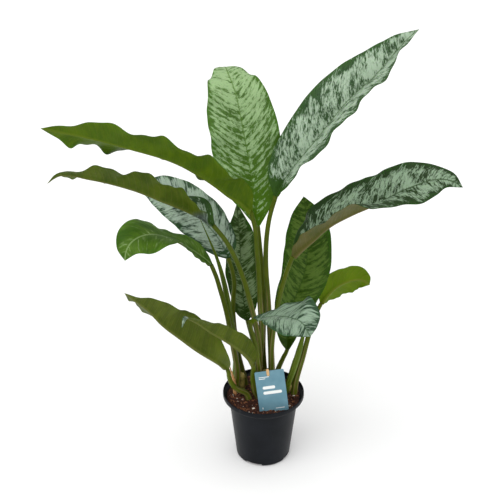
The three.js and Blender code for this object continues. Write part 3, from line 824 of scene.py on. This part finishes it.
def pot_profile(height, rim):
    """The closed outline of the pot's wall, out from the middle of its floor and back inside."""
    wall, lip, corner = POT_WALL, POT_LIP, POT_CORNER
    floor, shoulder = POT_FLOOR_RADIUS, POT_SHOULDER_RADIUS
    rim_foot = height - POT_RIM_HEIGHT
    flare_foot = rim_foot - POT_FLARE_HEIGHT
    outside = [(0, 0), (0.5 * floor, 0)]
    outside += arc((floor - corner, corner), corner, -90, 0, 8)
    for k in range(1, 6):
        radius = floor + (shoulder - floor) * k / 6
        outside.append((radius, corner + (flare_foot - corner) * k / 6))
    flare = []
    for k in range(9):
        radius = shoulder + (rim - shoulder) * (k / 8) ** 2
        flare.append((radius, flare_foot + POT_FLARE_HEIGHT * k / 8))
    outside += flare
    outside += [(rim + 0.15 * MM, rim_foot + 0.6 * MM), (rim + 0.15 * MM, height - 2 * lip)]
    outside += arc((rim - lip, height - lip), lip, 0, 180, 8)
    inside = [(rim - 2 * lip, height - 2.4 * lip), (rim - wall - 0.4 * MM, height - 3.6 * lip)]
    inside += [(r - wall, z + 0.5 * wall) for r, z in reversed(flare)]
    inside += [(floor - wall - 0.3 * MM, corner + wall), (floor - corner, wall), (0, wall)]
    return outside + inside


def lathe(profile, segments):
    """Points and faces of a closed skin turned about the Z axis."""
    inner = [p for p in profile if p[0] > 1e-9]
    points = []
    for k in range(segments):
        turn = 2 * math.pi * k / segments
        points += [(r * math.cos(turn), r * math.sin(turn), z) for r, z in inner]
    count = len(inner)
    faces = []
    for k in range(segments):
        after = (k + 1) % segments
        for i in range(count - 1):
            faces.append((k * count + i, after * count + i, after * count + i + 1, k * count + i + 1))
    low, high = len(points), len(points) + 1
    points += [(0, 0, profile[0][1]), (0, 0, profile[-1][1])]
    for k in range(segments):
        after = (k + 1) % segments
        faces.append((low, after * count, k * count))
        faces.append((high, k * count + count - 1, after * count + count - 1))
    return points, faces


def make_pot(material):
    """The pot, smooth all round, with its drain notches cut from the edge of the floor."""
    _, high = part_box("pot")
    points, faces = lathe(pot_profile(high.z, high.x), POT_SEGMENTS)
    piece = new_piece("pot_shell", points, faces, [material], ["pot"])
    cutters = bmesh.new()
    for k in range(DRAINS):
        turn = Matrix.Rotation(math.radians(FIRST_DRAIN_DEGREES + 360 * k / DRAINS), 4, "Z")
        place = turn @ Matrix.Translation((DRAIN_RADIUS, 0, 0)) @ Matrix.Diagonal((*DRAIN_SIZE, 1))
        bmesh.ops.create_cube(cutters, size=1, matrix=place)
    mesh = bpy.data.meshes.new("drain_notches")
    cutters.to_mesh(mesh)
    cutters.free()
    tool = bpy.data.objects.new("drain_notches", mesh)
    bpy.context.scene.collection.objects.link(tool)
    cut = piece.modifiers.new("drains", "BOOLEAN")
    cut.operation = "DIFFERENCE"
    cut.object = tool
    apply_modifiers(piece)
    bpy.data.objects.remove(tool)
    keep_edges(piece, 40)


def apply_modifiers(piece):
    bpy.context.view_layer.update()
    made = bpy.data.meshes.new_from_object(piece.evaluated_get(bpy.context.evaluated_depsgraph_get()))
    piece.modifiers.clear()
    piece.data = made


def keep_edges(piece, degrees):
    """Smooth shading, with edges sharper than an angle kept crisp."""
    mesh = piece.data
    mesh.polygons.foreach_set("use_smooth", [True] * len(mesh.polygons))
    mesh.set_sharp_from_angle(angle=math.radians(degrees))


# ---------------------------------------------------------------- soil


def soil_material():
    n = Nodes("potting_soil")
    place = n.place()
    tone = n.attribute("chip")[0]
    crumbs = n.noise(place, 600.0, 5.0, 0.7)
    fibres = n.noise(n.mapping(place, (1, 0.2, 1)), 900.0, 4.0, 0.7)
    colour = n.mix(n.tone(crumbs), srgb(28, 14, 10), srgb(78, 42, 30))
    colour = n.mix(n.times(n.span(fibres, 0.55, 0.7), 0.6), colour, srgb(112, 66, 44))
    bark = n.mix(crumbs, srgb(96, 56, 34), srgb(150, 100, 66))
    colour = n.mix(n.span(tone, 0.62, 0.72), colour, bark)
    colour = n.mix(n.span(tone, 0.93, 0.96), colour, srgb(222, 216, 204))
    n.set("Base Color", colour)
    n.set("Roughness", n.tone(crumbs, 0.7, 0.95))
    n.set("Specular IOR Level", 0.3)
    n.set("Normal", n.bump(crumbs, 1.0 * MM, 0.9))
    return n.material


def soil_height(x, y):
    """The soil's rough top, above its own level."""
    big = noise.noise(Vector((x, y, 0.4)) / (22 * MM))
    small = noise.noise(Vector((x, y, 3.1)) / (6 * MM))
    fine = noise.noise(Vector((x, y, 7.9)) / (2.2 * MM))
    return (1.3 * big + 1.0 * small + 0.5 * fine) * MM


def circle(radius, sides):
    turns = [2 * math.pi * k / sides for k in range(sides)]
    return [(radius * math.cos(turn), radius * math.sin(turn)) for turn in turns]


def make_soil(material):
    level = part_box("pot")[1].z - SOIL_DROP
    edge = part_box("soil")[1].x
    rings, sides = SOIL_RINGS, SOIL_SIDES
    points = [(0, 0, level + soil_height(0, 0))]
    for i in range(1, rings + 1):
        around = circle(edge * i / rings, sides)
        points += [(x, y, level + soil_height(x, y)) for x, y in around]
    faces = [(0, 1 + k, 1 + (k + 1) % sides) for k in range(sides)]
    for i in range(rings - 1):
        for k in range(sides):
            a, b = 1 + i * sides + k, 1 + i * sides + (k + 1) % sides
            faces.append((a, a + sides, b + sides, b))
    rim = 1 + (rings - 1) * sides
    lower = len(points)
    depths = [(0.97 * edge, level - 2.5 * MM), (0.86 * edge, level - 12 * MM), (38 * MM, 5 * MM)]
    for radius, z in depths:
        points += [(x, y, z) for x, y in circle(radius, sides)]
    for k in range(sides):
        after = (k + 1) % sides
        faces.append((rim + k, lower + k, lower + after, rim + after))
        for i in range(len(depths) - 1):
            a, b = lower + i * sides + k, lower + i * sides + after
            faces.append((a, a + sides, b + sides, b))
    lowest = lower + (len(depths) - 1) * sides
    faces.append(tuple(lowest + k for k in reversed(range(sides))))
    tones = [[0.2, 0, 0]] * len(points)
    add_chips(points, faces, tones, level, edge)
    piece = new_piece("soil_mix", points, faces, [material], ["soil"])
    add_vectors(piece, "chip", tones)
    keep_edges(piece, 50)


def add_chips(points, faces, tones, level, edge):
    """Loose chips of bark and coir, and a few white grains, lying on the soil."""
    shape = bmesh.new()
    bmesh.ops.create_icosphere(shape, subdivisions=1, radius=1)
    ball = [v.co.copy() for v in shape.verts]
    ball_faces = [tuple(v.index for v in f.verts) for f in shape.faces]
    shape.free()
    random = np.random.default_rng(CHIP_SEED)
    for _ in range(CHIPS):
        radius = (edge - 1.5 * MM) * math.sqrt(random.random())
        turn = 2 * math.pi * random.random()
        x, y = radius * math.cos(turn), radius * math.sin(turn)
        tone = random.random()
        size = (0.7 + 1.5 * random.random() ** 2) * MM
        if tone > WHITE_GRAIN:
            size = (0.5 + 0.6 * random.random()) * MM
        stretch = Vector((1.0 + 1.3 * random.random(), 0.8, 0.45 + 0.3 * random.random()))
        spin = Matrix.Rotation(2 * math.pi * random.random(), 3, "Z")
        tip = Matrix.Rotation(random.normal(0, 0.35), 3, "X")
        centre = Vector((x, y, level + soil_height(x, y) + 0.25 * size))
        base = len(points)
        for corner in ball:
            lump = 1 + 0.35 * (random.random() - 0.5)
            local = Vector(a * b for a, b in zip(corner, stretch)) * size * lump
            points.append(tuple(centre + spin @ (tip @ local)))
            tones.append([tone, 0, 0])
        faces.extend(tuple(base + v for v in f) for f in ball_faces)


# ---------------------------------------------------------------- label


def card_normal(points, triangles):
    """The direction that most of the card's area faces, towards the front."""
    best = np.zeros(3)
    for a, b, c in triangles:
        normal = np.cross(points[b] - points[a], points[c] - points[a])
        if np.linalg.norm(normal) > np.linalg.norm(best) and normal[1] < 0:
            best = normal
    return best / np.linalg.norm(best)


def card_axes():
    """Across and up the card in its own plane, from its longest straight edge."""
    points, triangles = merged_mesh("label_card")
    normal = card_normal(points, triangles)
    longest = np.zeros(3)
    for a, b, c in triangles:
        for p, q in ((a, b), (b, c), (c, a)):
            edge = points[q] - points[p]
            length = np.linalg.norm(edge)
            steep, flat = abs(edge[2]) > 0.85 * length, abs(edge.dot(normal)) < 1e-5
            if steep and flat and CARD_EDGE[0] < length < CARD_EDGE[1]:
                longest = edge if edge[2] > 0 else -edge
    up = unit(longest)
    across = np.cross(up, -normal)
    across = across if across[0] > 0 else -across
    corner = (points @ across).min(), (points @ up).min()
    return across, up, normal, corner, (points @ normal).max()


def bar(n, x, y, left, low, width, height):
    """1 inside a rounded bar, in millimetres on the card."""
    radius = 0.45 * height
    gaps = []
    for place, middle, half in ((x, left + width / 2, width / 2), (y, low + height / 2, height / 2)):
        gap = n.minus(n.math("ABSOLUTE", n.minus(place, middle)), half - radius)
        gaps.append(n.math("MAXIMUM", gap, 0.0))
    far = n.math("SQRT", n.plus(n.times(gaps[0], gaps[0]), n.times(gaps[1], gaps[1])))
    return n.span(n.minus(far, radius), 0.12, -0.12)


def card_material():
    """Blue-grey card printed with plain pale bars, which stand for its lettering."""
    across, up, normal, corner, face = card_axes()
    n = Nodes("label_card")
    place = n.place()
    coordinates = n.split(place)

    def measure(axis, start):
        """The place along an axis from its start, in millimetres."""
        terms = [n.times(p, float(a) / MM) for p, a in zip(coordinates, axis)]
        return n.minus(n.plus(n.plus(terms[0], terms[1]), terms[2]), float(start) / MM)

    x, y = measure(across, corner[0]), measure(up, corner[1])
    ink = 0.0
    for shape in CARD_BARS:
        ink = n.math("MAXIMUM", bar(n, x, y, *shape), ink)
    ink = n.times(ink, n.math("GREATER_THAN", n.plus(measure(normal, face), 0.3), 0.0))
    fibres = n.noise(place, 900.0, 4.0, 0.65)
    clouds = n.noise(place, 60.0, 2.0)
    blue = n.mix(n.tone(clouds), srgb(92, 136, 152), srgb(104, 146, 162))
    blue = n.mix(n.times(n.span(fibres, 0.55, 0.8), 0.2), blue, srgb(136, 172, 186))
    n.set("Base Color", n.mix(ink, blue, srgb(240, 242, 240)))
    n.set("Roughness", n.tone(fibres, 0.5, 0.64))
    n.set("Normal", n.bump(fibres, 0.04 * MM, 0.6))
    return n.material


def stick_material():
    """Pale wood with grain along the stick."""
    n = Nodes("stick_wood")
    turned = n.mapping(n.place(), (1, 1, 0.05), (math.radians(-4), 0, 0))
    grain = n.noise(turned, 1400.0, 5.0, 0.7)
    broad = n.noise(turned, 300.0, 2.0)
    colour = n.mix(n.tone(grain), srgb(196, 150, 96), srgb(236, 202, 150))
    colour = n.mix(n.times(broad, 0.35), colour, srgb(206, 158, 100))
    n.set("Base Color", colour)
    n.set("Roughness", n.tone(grain, 0.55, 0.75))
    n.set("Normal", n.bump(grain, 0.2 * MM, 0.6))
    return n.material


def dress(node, material):
    """A CAD node whose own shape is right, with a material of its own."""
    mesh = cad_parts[node].data
    mesh.materials.clear()
    mesh.materials.append(material)


# ---------------------------------------------------------------- studio


def floor_material():
    n = Nodes("floor")
    clouds = n.noise(n.place(), 3.0, 2.0)
    n.set("Base Color", n.mix(n.tone(clouds), (0.94, 0.94, 0.94), (0.96, 0.96, 0.96)))
    n.set("Roughness", 0.9)
    return n.material


def make_studio():
    bpy.context.scene.view_settings.view_transform = "Standard"
    mesh = bpy.data.meshes.new("floor")
    corners = [(x * FLOOR_HALF, y * FLOOR_HALF, 0) for x, y in ((-1, -1), (1, -1), (1, 1), (-1, 1))]
    mesh.from_pydata(corners, [], [(0, 1, 2, 3)])
    floor = bpy.data.objects.new("floor", mesh)
    bpy.context.scene.collection.objects.link(floor)
    mesh.materials.append(floor_material())
    world = bpy.data.worlds.new("studio")
    bpy.context.scene.world = world
    world.use_nodes = True
    background = world.node_tree.nodes["Background"]
    background.inputs["Color"].default_value = (1.0, 1.0, 1.0, 1)
    seen = world.node_tree.nodes.new("ShaderNodeLightPath")
    strength = world.node_tree.nodes.new("ShaderNodeMath")
    strength.operation = "MULTIPLY_ADD"
    world.node_tree.links.new(seen.outputs["Is Camera Ray"], strength.inputs[0])
    strength.inputs[1].default_value = SKY_SEEN - SKY_LIGHT
    strength.inputs[2].default_value = SKY_LIGHT
    world.node_tree.links.new(strength.outputs[0], background.inputs["Strength"])
    add_light("key", (-1.0, -1.3, 2.6), 70.0, 1.7)
    add_light("fill", (1.4, 0.2, 1.6), 90.0, 0.5)


def add_light(name, place, spread, strength):
    """A distant light that shines from a place towards the plant, soft over a spread of degrees."""
    data = bpy.data.lights.new(name, "SUN")
    data.angle = math.radians(spread)
    data.energy = strength
    light = bpy.data.objects.new(name, data)
    light.location = place
    middle = Vector((0, 0, 0.3))
    light.rotation_euler = (middle - light.location).to_track_quat("-Z", "Y").to_euler()
    bpy.context.scene.collection.objects.link(light)


def make_camera():
    data = bpy.data.cameras.new("camera")
    data.lens = CAMERA_LENS_MM
    data.sensor_width = 36.0
    data.clip_end = 20.0
    camera = bpy.data.objects.new("camera", data)
    camera.location = CAMERA_PLACE
    camera.rotation_euler = (math.radians(90 - CAMERA_DOWN_DEGREES), 0, 0)
    bpy.context.scene.collection.objects.link(camera)
    bpy.context.scene.camera = camera


# ---------------------------------------------------------------- the whole scene


def leaf_looks():
    """Each leaf's own materials and waves."""
    mint = leaf_upper(
        "leaf_mint", srgb(148, 176, 126), srgb(76, 108, 48), srgb(66, 102, 8), 0.56, 0.7, 0.045,
        foot_end=0.66, rim=0.72
    )
    silver = leaf_upper(
        "leaf_silver", srgb(164, 184, 160), srgb(58, 84, 52), srgb(48, 80, 22), 0.52, 0.75, rim=0.62
    )
    shaded = leaf_upper(
        "leaf_shaded", srgb(134, 156, 130), srgb(38, 58, 28), srgb(34, 60, 16), 0.42, 0.7
    )
    frost = leaf_upper(
        "leaf_frost", srgb(150, 168, 150), srgb(54, 74, 56), srgb(44, 76, 36), 0.6, 0.5, rim=0.68
    )
    dark = leaf_upper("leaf_dark", srgb(124, 146, 104), srgb(50, 76, 20), srgb(40, 68, 10), 0.4, 0.4)
    streaked = leaf_upper(
        "leaf_streaked", srgb(138, 160, 138), srgb(54, 76, 56), srgb(48, 76, 44), 0.5, 0.32, rim=0.7
    )
    green = leaf_upper(
        "leaf_green", srgb(82, 108, 40), srgb(48, 76, 8), srgb(44, 74, 4), 0.4, 0.45, 0.045, rim=0.7
    )
    bright = leaf_plain("leaf_bright", srgb(92, 122, 4), srgb(116, 138, 30), srgb(78, 108, 2), 0.4)
    # The left arching leaf: its pale streaks and midrib are partly a paler tint and partly a painted
    # sheen, silvery light over deep green.
    pale_and_painted_sheen = leaf_plain("leaf_glossy", srgb(84, 116, 34), srgb(144, 168, 112), srgb(52, 86, 10), 0.85)
    olive = leaf_under("under_olive", srgb(78, 102, 0), srgb(60, 86, 0), srgb(92, 108, 20))
    dusky = leaf_under("under_dusky", srgb(80, 94, 14), srgb(62, 76, 4), srgb(100, 104, 46))
    lobed = leaf_under(
        "under_lobed", srgb(74, 90, 10), srgb(54, 72, 2), srgb(96, 98, 44), srgb(112, 128, 116)
    )
    lime = leaf_under("under_lime", srgb(96, 122, 2), srgb(84, 110, 0), srgb(108, 112, 38))
    brown = leaf_under("under_brown", srgb(88, 86, 36), srgb(70, 76, 24), srgb(108, 98, 56))
    return [
        Leaf("centre_back", mint, olive, 4.5, 4.5, 3.0, 0.4),
        Leaf("upper_right", silver, olive, 4.5, 5.0, 2.8, 1.2),
        Leaf("right", shaded, brown, 4.0, 3.0, 2.4, 2.1),
        Leaf("upper_left", silver, olive, 4.6, 4.6, 5.4, 3.3),
        Leaf("left", silver, lobed, 4.6, 4.2, 5.4, 4.4),
        Leaf("left_behind", frost, dusky, 4.0, 2.8, 2.8, 0.9),
        Leaf("dark_upright", dark, olive, 3.0, 1.8, 1.8, 2.7),
        Leaf("right_behind", green, olive, 3.5, 2.0, 2.0, 3.9),
        Leaf("right_low", bright, lime, 3.0, 1.5, 1.5, 5.0),
        Leaf("front", streaked, olive, 3.0, 2.0, 2.0, 5.7),
        Leaf("lower_left", silver, dusky, 3.5, 2.4, 2.4, 1.9),
        Leaf("low_centre", frost, dusky, 3.0, 1.8, 1.8, 2.4),
        Leaf("left_arching", pale_and_painted_sheen, olive, 3.0, 1.6, 1.6, 3.0),
    ]


def make_plant():
    stalk_green = stalk_material("leaf_stalk", srgb(76, 92, 6), srgb(98, 108, 22), srgb(118, 106, 66))
    for leaf in leaf_looks():
        make_blade(leaf)
        make_stalk(leaf.name, stalk_green)
    spear_green = stalk_material("rolled_leaf", srgb(76, 98, 8), srgb(94, 112, 20), srgb(100, 116, 44))
    bark = cane_material()
    for side in ("left", "right"):
        make_spear(side, spear_green)
    for side in ("left", "centre", "right"):
        make_cane(side, bark)
    make_dry_sheath(dry_sheath_material())


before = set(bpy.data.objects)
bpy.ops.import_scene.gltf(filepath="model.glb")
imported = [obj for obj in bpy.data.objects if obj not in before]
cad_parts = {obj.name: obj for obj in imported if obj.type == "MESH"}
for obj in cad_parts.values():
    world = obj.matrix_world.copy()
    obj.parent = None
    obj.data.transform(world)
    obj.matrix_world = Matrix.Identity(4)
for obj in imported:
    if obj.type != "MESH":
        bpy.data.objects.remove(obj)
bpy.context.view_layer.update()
make_camera()
make_plant()
make_pot(pot_material())
make_soil(soil_material())
dress("label_card", card_material())
dress("label_stick", stick_material())
make_studio()
